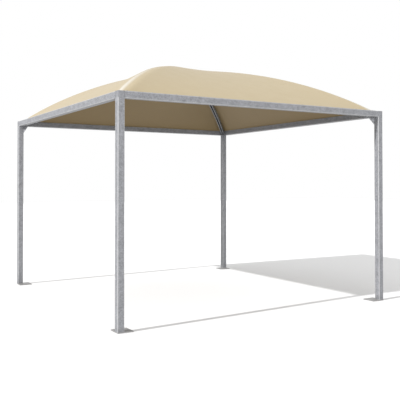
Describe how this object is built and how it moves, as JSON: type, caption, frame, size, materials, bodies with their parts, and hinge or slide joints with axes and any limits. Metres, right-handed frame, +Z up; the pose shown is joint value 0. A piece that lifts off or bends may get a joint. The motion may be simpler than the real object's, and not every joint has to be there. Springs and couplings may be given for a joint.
{
  "type": "gazebo",
  "caption": "Open-sided square gazebo: galvanised tube posts on foot plates, top beams, crossed arches and a taut domed fabric canopy.",
  "frame": {"origin": "centre of the footprint at floor level, on the underside of the foot plates", "axes": "+Z up, -Y towards the front, +X to the right seen from the front"},
  "size_m": [4, 4, 3.295],
  "materials": {
    "posts_and_beams": "hot-dip galvanised, matt with a faint spangle",
    "arches": "hot-dip galvanised channel",
    "fittings": "hot-dip galvanised plate",
    "canopy_fabric": "sand-coloured coated canvas, matt"
  },
  "bodies": {
    "root": {"post_front_left": "posts_and_beams", "post_cap_front_left": "fittings", "foot_plate_front_left": "fittings", "arch_front_left": "arches", "gusset_front_left": "fittings", "post_front_right": "posts_and_beams", "post_cap_front_right": "fittings", "foot_plate_front_right": "fittings", "arch_front_right": "arches", "gusset_front_right": "fittings", "post_back_right": "posts_and_beams", "post_cap_back_right": "fittings", "foot_plate_back_right": "fittings", "arch_back_right": "arches", "gusset_back_right": "fittings", "post_back_left": "posts_and_beams", "post_cap_back_left": "fittings", "foot_plate_back_left": "fittings", "arch_back_left": "arches", "gusset_back_left": "fittings", "beam_front": "posts_and_beams", "clamp_bar_front": "fittings", "canopy_front": "canopy_fabric", "beam_right": "posts_and_beams", "clamp_bar_right": "fittings", "canopy_right": "canopy_fabric", "beam_back": "posts_and_beams", "clamp_bar_back": "fittings", "canopy_back": "canopy_fabric", "beam_left": "posts_and_beams", "clamp_bar_left": "fittings", "canopy_left": "canopy_fabric", "crown_hub": "fittings", "canopy_crown": "canopy_fabric"}
  },
  "joints": []
}
